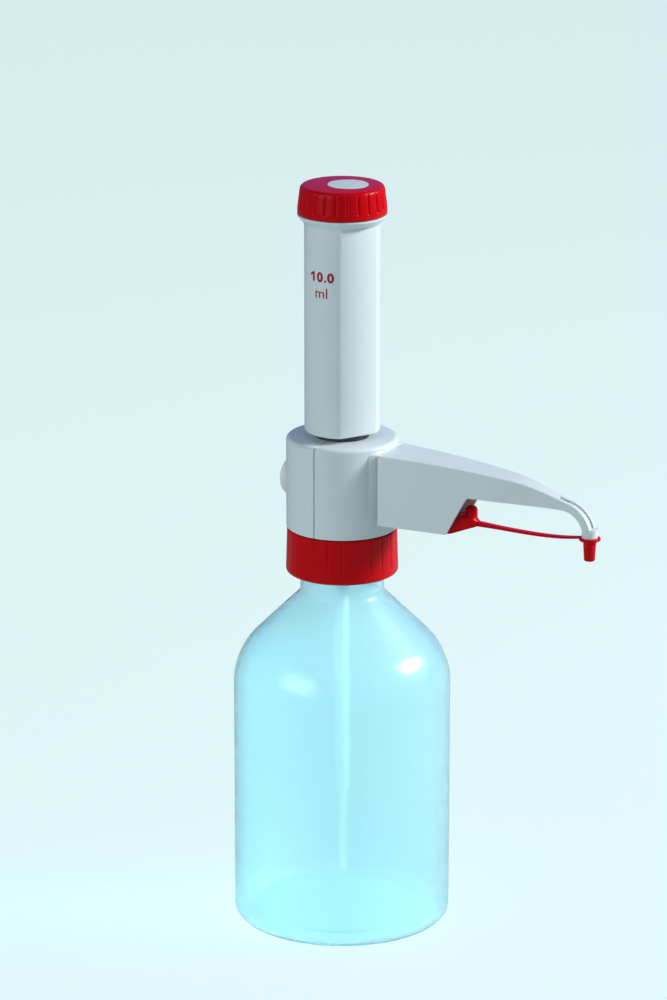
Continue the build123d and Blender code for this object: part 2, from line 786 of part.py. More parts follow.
with BuildPart() as guide_sleeve:
    turned(
        (guide_bore_radius, core_top),
        (guide_foot_radius, core_top),
        (guide_foot_radius, core_top + guide_foot_thickness),
        (guide_radius, core_top + guide_foot_thickness),
        (guide_radius, guide_stop_bottom),
        (guide_stop_radius, guide_stop_bottom),
        (guide_stop_radius, guide_top, 0.6),
        (barrel_bore_radius + 0.5, guide_top),
        (barrel_bore_radius + 0.5, guide_top - guide_lip),
        (guide_bore_radius, guide_top - guide_lip),
    )
save(guide_sleeve, "guide_sleeve")

rod_seat = piston_bottom + piston_socket
seal_bottom = piston_bottom + piston_seal_rise
groove_radius = piston_radius - piston_groove
seal_top = seal_bottom + piston_seal_height
with BuildPart() as piston_head:
    turned(
        (0, piston_bottom),
        (piston_radius, piston_bottom, 0.5),
        (piston_radius, seal_bottom),
        (groove_radius, seal_bottom),
        (groove_radius, seal_top),
        (piston_radius, seal_top),
        (piston_radius, piston_top, 0.5),
        (rod_radius + seat_gap, piston_top),
        (rod_radius + seat_gap, rod_seat),
        (0, rod_seat),
    )
save(piston_head, "piston_head")

with BuildPart() as piston_seal:
    turned(
        (groove_radius + seat_gap, seal_bottom + seat_gap),
        (barrel_bore_radius - lip_gap, seal_bottom + seat_gap),
        (piston_radius, seal_bottom + piston_groove),
        (piston_radius, seal_top - piston_groove),
        (barrel_bore_radius - lip_gap, seal_top - seat_gap),
        (groove_radius + seat_gap, seal_top - seat_gap),
    )
save(piston_seal, "piston_seal")

# Head: the rod hangs from the cap's boss, locked by a nut
flare_start = sleeve_top - flare_band - flare_height
flat_top = flare_start + flat_rise
skirt_bottom = flat_top + sleeve_wall + head_joint
boss_bottom = skirt_bottom - cap_boss_drop
rod_top = cap_top - cap_roof_thickness
with BuildPart() as piston_rod:
    disc(rod_radius, rod_seat + seat_gap, rod_top)
save(piston_rod, "piston_rod")

with BuildPart() as rod_nut:
    with BuildSketch(Plane.XY.offset(boss_bottom - rod_nut_height)):
        RegularPolygon(cap_boss_radius, 6)
        Circle(rod_radius + seat_gap, mode=Mode.SUBTRACT)
    extrude(amount=rod_nut_height - seat_gap)
save(rod_nut, "rod_nut")

# Sleeve: thin, with one flat side and a flare that carries the cap
sleeve_bore = sleeve_radius - sleeve_wall
inner_flat = flat_distance - sleeve_wall


def flat_side(radius, distance, mode=Mode.ADD):
    # The part of a circle that lies beyond the flat
    with PolarLocations(distance + radius / 2, 1, start_angle=flat_angle):
        Rectangle(radius, 2 * radius, mode=mode)


with BuildPart() as dispensing_sleeve:
    with BuildSketch(Plane.XZ) as sleeve_side:
        with BuildLine():
            FilletPolyline(
                (0, sleeve_bottom),
                (sleeve_radius, sleeve_bottom),
                (sleeve_radius, flare_start + flare_start_gap),
                (flare_radius, sleeve_top - flare_band),
                (flare_radius, sleeve_top),
                (0, sleeve_top),
                radius=(0, 0, flare_rounding, flare_top_rounding, 0, 0),
                close=True,
            )
        make_face()
    revolve(sleeve_side.sketch, axis=Axis.Z)
    with BuildSketch(Plane.XY.offset(sleeve_bottom)) as flat:
        flat_side(sleeve_radius, flat_distance)
    extrude(flat.sketch, amount=flat_top - sleeve_bottom, mode=Mode.SUBTRACT)
    fillet(faces().sort_by(Axis.Z)[0].edges(), sleeve_edge)
    with BuildSketch(Plane.XY.offset(sleeve_bottom)) as bore:
        Circle(sleeve_bore)
        flat_side(sleeve_radius, inner_flat, mode=Mode.SUBTRACT)
    extrude(bore.sketch, amount=flat_top + sleeve_wall - sleeve_bottom, mode=Mode.SUBTRACT)
    disc(sleeve_bore, flat_top + sleeve_wall, sleeve_top, mode=Mode.SUBTRACT)
save(dispensing_sleeve, "dispensing_sleeve")

with BuildPart() as stop_bush:
    with BuildSketch(Plane.XY.offset(bush_bottom)):
        Circle(sleeve_bore - seat_gap)
        flat_side(sleeve_radius, inner_flat - seat_gap, mode=Mode.SUBTRACT)
        Circle(guide_radius + bush_gap, mode=Mode.SUBTRACT)
    extrude(amount=bush_height)
save(stop_bush, "stop_bush")

# Head cap: a fluted knob with a plain band below, a short skirt inside the sleeve and a
# boss for the rod, and a round plate let into its top
skirt_radius = sleeve_bore - seat_gap
cap_roof = cap_top - cap_roof_thickness
disc_x = disc_offset * cos(radians(disc_offset_angle))
disc_y = disc_offset * sin(radians(disc_offset_angle))
cap_band_top = cap_bottom + cap_band
flute_tilt = degrees(atan2(cap_bottom_radius - cap_top_radius, cap_top - cap_band_top))
flute_length = cap_top - cap_band_top
with BuildPart() as head_cap:
    turned(
        (0, cap_top),
        (cap_top_radius, cap_top, cap_edge_rounding),
        (cap_bottom_radius, cap_band_top, cap_side_rounding),
        (cap_bottom_radius, cap_bottom, 0.5),
        (skirt_radius, cap_bottom),
        (skirt_radius, skirt_bottom),
        (skirt_radius - cap_wall, skirt_bottom),
        (skirt_radius - cap_wall, cap_roof),
        (cap_boss_radius, cap_roof),
        (cap_boss_radius, boss_bottom),
        (rod_radius + seat_gap, boss_bottom),
        (rod_radius + seat_gap, rod_top + seat_gap),
        (0, rod_top + seat_gap),
    )
    with Locations(Plane.XY.offset(cap_band_top + flute_length / 2)):
        with PolarLocations((cap_bottom_radius + cap_top_radius) / 2 + 0.1, flute_count, cap_flute_phase):
            Cylinder(cap_flute_radius, flute_length, rotation=(0, -flute_tilt, 0), mode=Mode.SUBTRACT)
    with Locations((disc_x, disc_y, cap_top - disc_thickness / 2)):
        Cylinder(disc_radius + seat_gap, disc_thickness, mode=Mode.SUBTRACT)
save(head_cap, "head_cap")

with BuildPart() as cap_disc:
    with Locations((disc_x, disc_y, cap_top - (disc_thickness - disc_proud) / 2)):
        Cylinder(disc_radius, disc_thickness + disc_proud)
    fillet(faces().sort_by(Axis.Z)[-1].edges(), disc_proud)
save(cap_disc, "cap_disc")
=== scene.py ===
# Bottle-top dispenser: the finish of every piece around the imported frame.
# Blender lengths are metres; the sizes in the dictionaries are millimetres.
import json
import math

import bmesh
import bpy
from mathutils import Matrix, Vector


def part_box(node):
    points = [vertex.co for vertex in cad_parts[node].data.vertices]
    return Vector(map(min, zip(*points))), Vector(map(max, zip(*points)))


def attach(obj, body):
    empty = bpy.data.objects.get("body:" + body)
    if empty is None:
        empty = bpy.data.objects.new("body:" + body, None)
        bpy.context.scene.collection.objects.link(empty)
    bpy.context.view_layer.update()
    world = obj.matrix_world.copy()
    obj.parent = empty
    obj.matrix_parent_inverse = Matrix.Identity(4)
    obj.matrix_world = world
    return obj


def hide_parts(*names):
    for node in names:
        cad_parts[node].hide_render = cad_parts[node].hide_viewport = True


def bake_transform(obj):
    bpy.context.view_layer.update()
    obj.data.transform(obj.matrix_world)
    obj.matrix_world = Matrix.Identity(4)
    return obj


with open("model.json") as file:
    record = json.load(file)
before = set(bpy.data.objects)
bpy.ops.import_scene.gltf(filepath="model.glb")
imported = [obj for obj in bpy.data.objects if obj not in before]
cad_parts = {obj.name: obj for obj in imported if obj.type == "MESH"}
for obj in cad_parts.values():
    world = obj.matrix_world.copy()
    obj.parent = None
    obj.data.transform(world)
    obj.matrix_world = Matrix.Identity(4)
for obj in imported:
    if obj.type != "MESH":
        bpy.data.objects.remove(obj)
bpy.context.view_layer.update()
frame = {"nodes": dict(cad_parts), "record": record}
mm = 0.001
nodes = frame["nodes"]
nodeBody = {n: body for body, names in frame["record"]["behaviour"]["bodies"].items() for n in names}
nodeSlot = {row["node"]: row["material_slot"] for row in frame["record"]["subparts"]}
print("frame loaded:", len(nodes), "nodes")


# Materials
moulding = dict(grainDetail=3.0, toneDetail=2.0, toneFrom=0.35, toneTo=0.65)


def newMaterial(name):
    material = bpy.data.materials.new(name)
    material.use_nodes = True
    tree = material.node_tree
    return material, tree, tree.nodes["Principled BSDF"]


def addGrain(tree, shader, scale, bumpDepth, roughness, spread):
    # Moulded grain: a fine noise lifts the surface and makes its gloss a little uneven
    place = tree.nodes.new("ShaderNodeTexCoord")
    noise = tree.nodes.new("ShaderNodeTexNoise")
    noise.inputs["Scale"].default_value = scale
    noise.inputs["Detail"].default_value = moulding["grainDetail"]
    bump = tree.nodes.new("ShaderNodeBump")
    bump.inputs["Strength"].default_value = 1.0
    bump.inputs["Distance"].default_value = bumpDepth * mm
    spreadMap = tree.nodes.new("ShaderNodeMapRange")
    spreadMap.inputs["To Min"].default_value = roughness - spread
    spreadMap.inputs["To Max"].default_value = roughness + spread
    tree.links.new(place.outputs["Object"], noise.inputs["Vector"])
    tree.links.new(noise.outputs["Fac"], bump.inputs["Height"])
    tree.links.new(noise.outputs["Fac"], spreadMap.inputs["Value"])
    tree.links.new(bump.outputs["Normal"], shader.inputs["Normal"])
    tree.links.new(spreadMap.outputs["Result"], shader.inputs["Roughness"])
    return place


def addTone(tree, shader, place, dark, light, scale):
    # Slow colour variation of moulded plastic
    noise = tree.nodes.new("ShaderNodeTexNoise")
    noise.inputs["Scale"].default_value = scale
    noise.inputs["Detail"].default_value = moulding["toneDetail"]
    ramp = tree.nodes.new("ShaderNodeValToRGB")
    ramp.color_ramp.elements[0].position = moulding["toneFrom"]
    ramp.color_ramp.elements[0].color = (*dark, 1)
    ramp.color_ramp.elements[1].position = moulding["toneTo"]
    ramp.color_ramp.elements[1].color = (*light, 1)
    tree.links.new(place.outputs["Object"], noise.inputs["Vector"])
    tree.links.new(noise.outputs["Fac"], ramp.inputs["Fac"])
    tree.links.new(ramp.outputs["Color"], shader.inputs["Base Color"])


def letLightThrough(tree, shader, colour):
    # Light reaches what stands inside a see-through piece
    rays = tree.nodes.new("ShaderNodeLightPath")
    opening = tree.nodes.new("ShaderNodeBsdfTransparent")
    opening.inputs["Color"].default_value = (*colour, 1)
    mix = tree.nodes.new("ShaderNodeMixShader")
    tree.links.new(rays.outputs["Is Shadow Ray"], mix.inputs["Fac"])
    tree.links.new(shader.outputs[0], mix.inputs[1])
    tree.links.new(opening.outputs[0], mix.inputs[2])
    tree.links.new(mix.outputs[0], tree.nodes["Material Output"].inputs["Surface"])


def plastic(name, look):
    material, tree, shader = newMaterial(name)
    place = addGrain(tree, shader, look["grain"], look["bump"], look["roughness"], look["spread"])
    addTone(tree, shader, place, look["dark"], look["light"], look["tone"])
    shader.inputs["IOR"].default_value = look.get("ior", 1.49)
    shader.inputs["Specular IOR Level"].default_value = look.get("specular", 0.35)
    shader.inputs["Transmission Weight"].default_value = look.get("clear", 0)
    shader.inputs["Subsurface Weight"].default_value = look.get("glow", 0)
    shader.inputs["Subsurface Radius"].default_value = (1, 1, 1)
    shader.inputs["Subsurface Scale"].default_value = look.get("depth", 1) * mm
    shader.inputs["Alpha"].default_value = look.get("alpha", 1)
    shader.inputs["Metallic"].default_value = look.get("metal", 0)
    if "passes" in look:
        letLightThrough(tree, shader, look["passes"])
    return material


looks = {
    "white_plastic": dict(dark=(0.69, 0.765, 0.77), light=(0.715, 0.79, 0.795), tone=25,
                          roughness=0.36, spread=0.04, grain=2600, bump=0.010),
    "red_plastic": dict(dark=(0.56, 0.001, 0.004), light=(0.61, 0.002, 0.006), tone=30,
                        roughness=0.27, spread=0.04, grain=2200, bump=0.008, specular=0.1),
    "white_disc": dict(dark=(0.72, 0.80, 0.80), light=(0.74, 0.82, 0.82), tone=40,
                       roughness=0.42, spread=0.04, grain=2600, bump=0.008),
    "warm_white": dict(dark=(0.84, 0.82, 0.74), light=(0.87, 0.85, 0.77), tone=30,
                       roughness=0.45, spread=0.05, grain=2000, bump=0.012),
    "natural_plastic": dict(dark=(0.62, 0.63, 0.60), light=(0.67, 0.68, 0.65), tone=30,
                            roughness=0.45, spread=0.05, grain=1800, bump=0.010, glow=0.3, depth=2),
    "clear_tube": dict(dark=(0.80, 0.88, 0.90), light=(0.86, 0.93, 0.95), tone=30,
                       roughness=0.22, spread=0.04, grain=1500, bump=0.004, alpha=0.6),
    "glass": dict(dark=(0.90, 0.95, 0.95), light=(0.93, 0.97, 0.97), tone=20,
                  roughness=0.05, spread=0.02, grain=900, bump=0.001, alpha=0.3, ior=1.47),
    # dark_guide: the guide sleeve is near-black. Seen in the gap under the pull sleeve, this dark colour
    # is partly painted shade, on top of the gap's real shadow
    "dark_guide": dict(dark=(0.045, 0.05, 0.055), light=(0.06, 0.065, 0.07), tone=30,
                       roughness=0.35, spread=0.05, grain=1800, bump=0.008),
    "seal": dict(dark=(0.02, 0.02, 0.02), light=(0.035, 0.035, 0.035), tone=50,
                 roughness=0.6, spread=0.08, grain=1600, bump=0.02),
    "ceramic": dict(dark=(0.80, 0.79, 0.75), light=(0.84, 0.83, 0.79), tone=60,
                    roughness=0.12, spread=0.03, grain=1200, bump=0.001),
    "spring_metal": dict(dark=(0.55, 0.55, 0.57), light=(0.65, 0.65, 0.67), tone=80,
                         roughness=0.28, spread=0.06, grain=1200, bump=0.004, metal=1),
    "translucent_bottle": dict(dark=(0.72, 0.925, 0.965), light=(0.735, 0.93, 0.97), tone=12,
                               roughness=0.22, spread=0.04, grain=240, bump=0.02,
                               clear=0.9, ior=1.3, specular=0.5, passes=(0.75, 0.93, 0.96)),
    "red_print": dict(dark=(0.36, 0.006, 0.03), light=(0.42, 0.01, 0.04), tone=60,
                      roughness=0.5, spread=0.06, grain=2600, bump=0.004),
}
finishes = {name: plastic(name, look) for name, look in looks.items()}
print("materials made:", len(finishes))


# Helpers that make and place pieces
weld = dict(made=0.002, copied=0.004, sliver=0.001)  # points closer than this are one


def addPiece(name, mesh, body, slot, stands=(), material=None, sharpAngle=32, blend=None):
    mesh.shade_smooth()
    mesh.set_sharp_from_angle(angle=math.radians(sharpAngle))
    mesh.materials.clear()
    mesh.materials.append(finishes[material or slot])
    piece = bpy.data.objects.new(name, mesh)
    bpy.context.scene.collection.objects.link(piece)
    if blend:
        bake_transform(piece)
    else:
        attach(piece, body)
    if stands:
        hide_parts(*stands)
    return piece


def meshFrom(bm, name):
    bmesh.ops.remove_doubles(bm, verts=bm.verts[:], dist=weld["made"] * mm)
    bmesh.ops.dissolve_degenerate(bm, edges=bm.edges[:], dist=weld["sliver"] * mm)
    bmesh.ops.recalc_face_normals(bm, faces=bm.faces[:])
    mesh = bpy.data.meshes.new(name)
    bm.to_mesh(mesh)
    bm.free()
    return mesh


def drawProfile(bm, corners, segments=6):
    # A closed outline in the XZ plane; a third number rounds that corner
    verts = [bm.verts.new((corner[0] * mm, 0, corner[1] * mm)) for corner in corners]
    for i, vert in enumerate(verts):
        bm.edges.new((vert, verts[(i + 1) % len(verts)]))
    for i, corner in enumerate(corners):
        if len(corner) < 3:
            continue
        here = Vector(corner[:2])
        before = (Vector(corners[i - 1][:2]) - here).normalized()
        after = (Vector(corners[(i + 1) % len(corners)][:2]) - here).normalized()
        reach = corner[2] / math.tan(before.angle(after) / 2)
        bmesh.ops.bevel(bm, geom=[verts[i]], offset=reach * mm, offset_type="OFFSET", segments=segments,
                        profile=0.5, affect="VERTICES", clamp_overlap=False, material=-1)


def turnedMesh(name, corners, steps, segments):
    bm = bmesh.new()
    drawProfile(bm, corners, segments)
    bmesh.ops.spin(bm, geom=bm.verts[:] + bm.edges[:], cent=(0, 0, 0), axis=(0, 0, 1),
                   dvec=(0, 0, 0), angle=math.tau, steps=steps, use_merge=True)
    return meshFrom(bm, name)


def copyNode(name, node, sharpAngle=24, blend=None):
    # A welded, smooth-shaded copy of a moulded CAD shell
    bm = bmesh.new()
    bm.from_mesh(nodes[node].data)
    bmesh.ops.remove_doubles(bm, verts=bm.verts[:], dist=weld["copied"] * mm)
    bmesh.ops.dissolve_degenerate(bm, edges=bm.edges[:], dist=weld["sliver"] * mm)
    mesh = bpy.data.meshes.new(name)
    bm.to_mesh(mesh)
    bm.free()
    return addPiece(name, mesh, nodeBody[node], nodeSlot[node], [node],
                    sharpAngle=sharpAngle, blend=blend)


def extent(node):
    low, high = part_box(node)
    return low / mm, high / mm


# Bottle: blown shell with a pushed-up base and a plain neck
bottle = dict(radius=51.5, wall=1.8, heel=4.5, straight=118.0, shoulder=30.0, slope=45.0, neck=19.8,
              bore=17.6, neckRounding=2.5, lipRounding=0.6, pushUp=2.2, pushUpRadius=40.0,
              pushUpRounding=12.0, innerPushUpRounding=8.0, foot=4.0, footRounding=1.2,
              innerFootRounding=1.0, steps=160, segments=10)
neckThread = dict(core=21.0, length=14.0, root=1.2, rootRounding=0.5, edgeRounding=0.4, pitch=4.0,
                  start=2.4, turns=2.6, steps=60,
                  ridge=[(-0.4, -1.1), (1.5, -0.45), (1.5, 0.45), (-0.4, 1.1)])
mouth = extent("bottle")[1].z
shoulderLift = math.tan(math.radians(bottle["slope"] / 2))
shoulderCorner = bottle["straight"] + bottle["shoulder"] * shoulderLift
coneTop = shoulderCorner + bottle["radius"] - bottle["neck"]
innerRadius = bottle["radius"] - bottle["wall"]
innerCorner = shoulderCorner - bottle["wall"] * shoulderLift
innerConeTop = innerCorner + innerRadius - bottle["bore"]
threadBottom = mouth - neckThread["length"]
footRadius = bottle["pushUpRadius"] + bottle["foot"]
innerPushUp = bottle["pushUp"] + bottle["wall"]
bottleCorners = [
    (0, bottle["pushUp"]),
    (bottle["pushUpRadius"], bottle["pushUp"], bottle["pushUpRounding"]),
    (footRadius, 0, bottle["footRounding"]),
    (bottle["radius"], 0, bottle["heel"]),
    (bottle["radius"], shoulderCorner, bottle["shoulder"]),
    (bottle["neck"], coneTop, bottle["neckRounding"]),
    (bottle["neck"], threadBottom - neckThread["root"], neckThread["rootRounding"]),
    (neckThread["core"], threadBottom, neckThread["edgeRounding"]),
    (neckThread["core"], mouth, bottle["lipRounding"]),
    (bottle["bore"], mouth, bottle["lipRounding"]),
    (bottle["bore"], innerConeTop, bottle["neckRounding"]),
    (innerRadius, innerCorner, bottle["shoulder"] - bottle["wall"]),
    (innerRadius, bottle["wall"], bottle["heel"] - bottle["wall"]),
    (footRadius, bottle["wall"], bottle["innerFootRounding"]),
    (bottle["pushUpRadius"], innerPushUp, bottle["innerPushUpRounding"]),
    (0, innerPushUp),
]
bottleMesh = turnedMesh("bottleShell", bottleCorners, bottle["steps"], bottle["segments"])
addPiece("bottleShell", bottleMesh, "bottle", "translucent_bottle", ["bottle"])

# Its thread: a ridge that winds up round the neck
bm = bmesh.new()
ridgeBottom = threadBottom + neckThread["start"]
drawProfile(bm, [(neckThread["core"] + x, ridgeBottom + z) for x, z in neckThread["ridge"]])
bmesh.ops.contextual_create(bm, geom=bm.edges[:])
bmesh.ops.spin(bm, geom=bm.verts[:] + bm.edges[:] + bm.faces[:], cent=(0, 0, 0), axis=(0, 0, 1),
               dvec=(0, 0, neckThread["pitch"] * mm / neckThread["steps"]),
               angle=math.tau * neckThread["turns"],
               steps=int(neckThread["steps"] * neckThread["turns"]))
addPiece("neckThread", meshFrom(bm, "neckThread"), "bottle", "translucent_bottle")
print("bottle made")


# Red fluted rings: one flute is turned through its share of the circle, grooved and repeated
def flutedMesh(name, corners, flute, steps=20, segments=5):
    share = math.tau / flute["count"]
    bm = bmesh.new()
    drawProfile(bm, corners, segments)
    for height in flute["cuts"]:
        bmesh.ops.bisect_plane(bm, geom=bm.verts[:] + bm.edges[:], plane_co=(0, 0, height * mm),
                               plane_no=(0, 0, 1))
    start = math.radians(flute["phase"]) - share / 2
    bmesh.ops.rotate(bm, verts=bm.verts[:], cent=(0, 0, 0), matrix=Matrix.Rotation(start, 3, "Z"))
    bmesh.ops.spin(bm, geom=bm.verts[:] + bm.edges[:], cent=(0, 0, 0), axis=(0, 0, 1),
                   dvec=(0, 0, 0), angle=share, steps=steps)
    for vert in bm.verts:
        radius = math.hypot(vert.co.x, vert.co.y) / mm
        if radius < flute["innerLimit"]:
            continue
        aside = radius * (math.atan2(vert.co.y, vert.co.x) - math.radians(flute["phase"]))
        across = max(0.0, 1 - abs(aside) / flute["halfWidth"])
        z = vert.co.z / mm
        up = min(1.0, max(0.0, (z - flute["bottom"]) / flute["runIn"]))
        down = min(1.0, max(0.0, (flute["top"] - z) / flute["runOut"]))
        sink = flute["depth"] * across * across * (3 - 2 * across) * up * down
        vert.co.x *= 1 - sink / radius
        vert.co.y *= 1 - sink / radius
    geometry = bm.verts[:] + bm.edges[:] + bm.faces[:]
    bmesh.ops.spin(bm, geom=geometry, cent=(0, 0, 0), axis=(0, 0, 1), dvec=(0, 0, 0),
                   angle=math.tau - share, steps=flute["count"] - 1, use_duplicate=True)
    return meshFrom(bm, name)


capLow, capHigh = extent("head_cap")
sleeveTop = extent("dispensing_sleeve")[1].z
cap = dict(seat=0.2, radius=20.84, topRadius=19.5, edge=2.0, sideRounding=14.0, lowerRounding=0.5,
           band=2.6, wall=2.0, skirt=16.0, skirtStep=3.0, boss=6.5, rod=3.55, roof=3.0)
capBottom, capTop = sleeveTop + cap["seat"], capHigh.z
bandTop = capBottom + cap["band"]
skirtTop = capLow.z + cap["skirtStep"]
roofBottom = capTop - cap["roof"]
capCorners = [
    (0, capTop),
    (cap["topRadius"], capTop, cap["edge"]),
    (cap["radius"], bandTop, cap["sideRounding"]),
    (cap["radius"], capBottom, cap["lowerRounding"]),
    (cap["skirt"], capBottom),
    (cap["skirt"], skirtTop),
    (cap["skirt"] - cap["wall"], skirtTop),
    (cap["skirt"] - cap["wall"], roofBottom),
    (cap["boss"], roofBottom),
    (cap["boss"], capLow.z),
    (cap["rod"], capLow.z),
    (cap["rod"], roofBottom),
    (0, roofBottom),
]
capFlute = dict(count=24, phase=6.4, innerLimit=17.0, halfWidth=1.0, depth=0.5,
                bottom=bandTop, top=capTop - 0.9, runIn=0.5, runOut=1.8,
                cuts=[bandTop + d for d in (0.0, 0.25, 0.5, 2.5, 4.5, 6.5, 8.0)])
addPiece("headCap", flutedMesh("headCap", capCorners, capFlute), "head", "red_plastic", ["head_cap"])

collarLow, collarHigh = extent("screw_collar")
collar = dict(bore=22.9, lipBore=18.7, lip=1.8, bottomRadius=26.6, topRadius=26.0, edge=1.6, rim=0.4)
collarCorners = [
    (collar["bore"], collarLow.z),
    (collar["bottomRadius"], collarLow.z, collar["edge"]),
    (collar["topRadius"], collarHigh.z, collar["rim"]),
    (collar["lipBore"], collarHigh.z),
    (collar["lipBore"], collarHigh.z - collar["lip"]),
    (collar["bore"], collarHigh.z - collar["lip"]),
]
collarFlute = dict(count=24, phase=0.0, innerLimit=25.0, halfWidth=0.8, depth=0.30,
                   bottom=collarLow.z + 4.5, top=collarHigh.z + 5, runIn=1.2, runOut=1.0,
                   cuts=[collarLow.z + d for d in (2.5, 4.5, 5.0, 5.7, 8.0, 12.0, 16.0, 20.0)])
addPiece("screwCollar", flutedMesh("screwCollar", collarCorners, collarFlute), "collar", "red_plastic",
         ["screw_collar"])
print("cap and collar made")


# Moulded shells keep the frame's own forms
mouldedShells = dict(blockFront="housing_front", blockRear="housing_rear", spoutCover="spout_cover",
                     capDisc="cap_disc", capHolder="cap_holder", ventKnob="vent_cap",
                     nozzleCap="tip_cap", nozzleTube="discharge_tube", guideTube="guide_sleeve",
                     upperTube="upper_filling_tube", lowerTube="lower_filling_tube")
for shell, node in mouldedShells.items():
    copyNode(shell, node)
copyNode("pullSleeve", "dispensing_sleeve", sharpAngle=20)

# The cap strap is copied and baked in place; its far body and end points are listed, but nothing here
# bends it
strapLow, strapHigh = extent("cap_strap")
strapBlend = dict(far="tip", start=(strapLow.x * mm, 0, strapLow.z * mm),
                  end=(strapHigh.x * mm, 0, strapHigh.z * mm))
copyNode("capStrap", "cap_strap", blend=strapBlend)

# Valve spring: copied and baked in place; the outlet ball as its far body and its end points are listed,
# but nothing here bends it
springLow, springHigh = extent("discharge_spring")
springBlend = dict(far="outlet_ball", start=(springHigh.x * mm, 0, springHigh.z * mm),
                   end=(springLow.x * mm, 0, springHigh.z * mm))
copyNode("dischargeSpring", "discharge_spring", blend=springBlend)
print("shells made")

for node, cadObject in nodes.items():
    if not cadObject.hide_render:
        cadObject.data.materials.clear()
        cadObject.data.materials.append(finishes[nodeSlot[node]])


# Printed capacity mark, wrapped round the sleeve. Each glyph is fitted to its own place:
# along the sleeve's circumference from the azimuth, and up from the base
mark = dict(radius=17.67, azimuth=-94.0, lift=0.02, thickness=0.06, oneStem=1.25, oneFlag=1.2, oneArm=0.95,
            oneSlant=0.2, oneNotch=0.15, curveSteps=6, cuts=40)
boldGlyphs = [
    dict(words="1", left=-6.35, right=-3.65, bottom=315.75, top=320.3, bold=0),
    dict(words="0", left=-2.3, right=1.1, bottom=315.65, top=320.45, bold=0.045),
    dict(words=".", left=1.65, right=2.8, bottom=315.75, top=316.85, bold=0.045),
    dict(words="0", left=3.25, right=6.65, bottom=315.65, top=320.45, bold=0.045),
]
lightGlyphs = [dict(words="ml", left=-3.2, right=3.35, bottom=308.1, top=312.9, bold=0.004)]


def glyphShape(bm, glyph):
    # The flat glyph: the figure one with its flag is drawn, the others come from the type
    if glyph["words"] == "1":
        width, height = glyph["right"] - glyph["left"], glyph["top"] - glyph["bottom"]
        stem = width - mark["oneStem"]
        outline = [(stem, 0), (width, 0), (width, height), (stem + mark["oneSlant"], height),
                   (0, height - mark["oneFlag"]), (0, height - mark["oneFlag"] - mark["oneArm"]),
                   (stem, height - mark["oneFlag"] - mark["oneNotch"])]
        bm.faces.new([bm.verts.new((x, y, 0)) for x, y in outline])
        return
    curve = bpy.data.curves.new("glyph", "FONT")
    curve.body = glyph["words"]
    curve.offset = glyph["bold"]
    curve.resolution_u = mark["curveSteps"]
    text = bpy.data.objects.new("glyph", curve)
    bpy.context.scene.collection.objects.link(text)
    bpy.context.view_layer.update()
    drawn = bpy.data.meshes.new_from_object(text.evaluated_get(bpy.context.evaluated_depsgraph_get()))
    bpy.data.objects.remove(text)
    bm.from_mesh(drawn)


def printGlyphs(name, glyphs):
    sheet = bmesh.new()
    for glyph in glyphs:
        bm = bmesh.new()
        glyphShape(bm, glyph)
        for axis, low, high in ((0, glyph["left"], glyph["right"]), (1, glyph["bottom"], glyph["top"])):
            start = min(v.co[axis] for v in bm.verts)
            span = max(v.co[axis] for v in bm.verts) - start
            for vert in bm.verts:
                vert.co[axis] = low + (high - low) * (vert.co[axis] - start) / span
        placed = bpy.data.meshes.new("placed")
        bm.to_mesh(placed)
        bm.free()
        sheet.from_mesh(placed)
    left, right = glyphs[0]["left"], glyphs[-1]["right"]
    for i in range(1, mark["cuts"]):
        cut = left + (right - left) * i / mark["cuts"]
        bmesh.ops.bisect_plane(sheet, geom=sheet.verts[:] + sheet.edges[:] + sheet.faces[:],
                               plane_co=(cut, 0, 0), plane_no=(1, 0, 0))
    side = bmesh.ops.extrude_face_region(sheet, geom=sheet.faces[:])["geom"]
    raised = [v for v in side if isinstance(v, bmesh.types.BMVert)]
    bmesh.ops.translate(sheet, verts=raised, vec=(0, 0, mark["thickness"]))
    for vert in sheet.verts:
        around = math.radians(mark["azimuth"]) + vert.co.x / mark["radius"]
        out = mark["radius"] + mark["lift"] - mark["thickness"] / 2 + vert.co.z
        vert.co = Vector((out * math.cos(around), out * math.sin(around), vert.co.y)) * mm
    addPiece(name, meshFrom(sheet, name), "head", "white_plastic", material="red_print")


printGlyphs("markTen", boldGlyphs)
printGlyphs("markMl", lightGlyphs)
print("mark printed")


# Floor, lights and camera; the floor glows for the camera and keeps the object's shadow
floorLook = dict(size=8.0, colour=(0.45, 0.525, 0.535, 1), roughness=0.7, specular=0.1,
                 glow=(0.79, 0.975, 0.98, 1), glowStrength=1.17, glowShare=0.7)
bm = bmesh.new()
bmesh.ops.create_grid(bm, x_segments=2, y_segments=2, size=floorLook["size"])
floorMesh = bpy.data.meshes.new("floor")
bm.to_mesh(floorMesh)
bm.free()
floor = bpy.data.objects.new("floor", floorMesh)
bpy.context.scene.collection.objects.link(floor)
floorMaterial, floorTree, floorShader = newMaterial("paleFloor")
floorShader.inputs["Base Color"].default_value = floorLook["colour"]
floorShader.inputs["Roughness"].default_value = floorLook["roughness"]
floorShader.inputs["Specular IOR Level"].default_value = floorLook["specular"]
paleLight = floorTree.nodes.new("ShaderNodeEmission")
paleLight.inputs["Color"].default_value = floorLook["glow"]
paleLight.inputs["Strength"].default_value = floorLook["glowStrength"]
floorRays = floorTree.nodes.new("ShaderNodeLightPath")
seen = floorTree.nodes.new("ShaderNodeMath")
seen.operation = "MAXIMUM"
share = floorTree.nodes.new("ShaderNodeMath")
share.operation = "MULTIPLY"
share.inputs[1].default_value = floorLook["glowShare"]
floorMix = floorTree.nodes.new("ShaderNodeMixShader")
floorTree.links.new(floorRays.outputs["Is Camera Ray"], seen.inputs[0])
floorTree.links.new(floorRays.outputs["Is Transmission Ray"], seen.inputs[1])
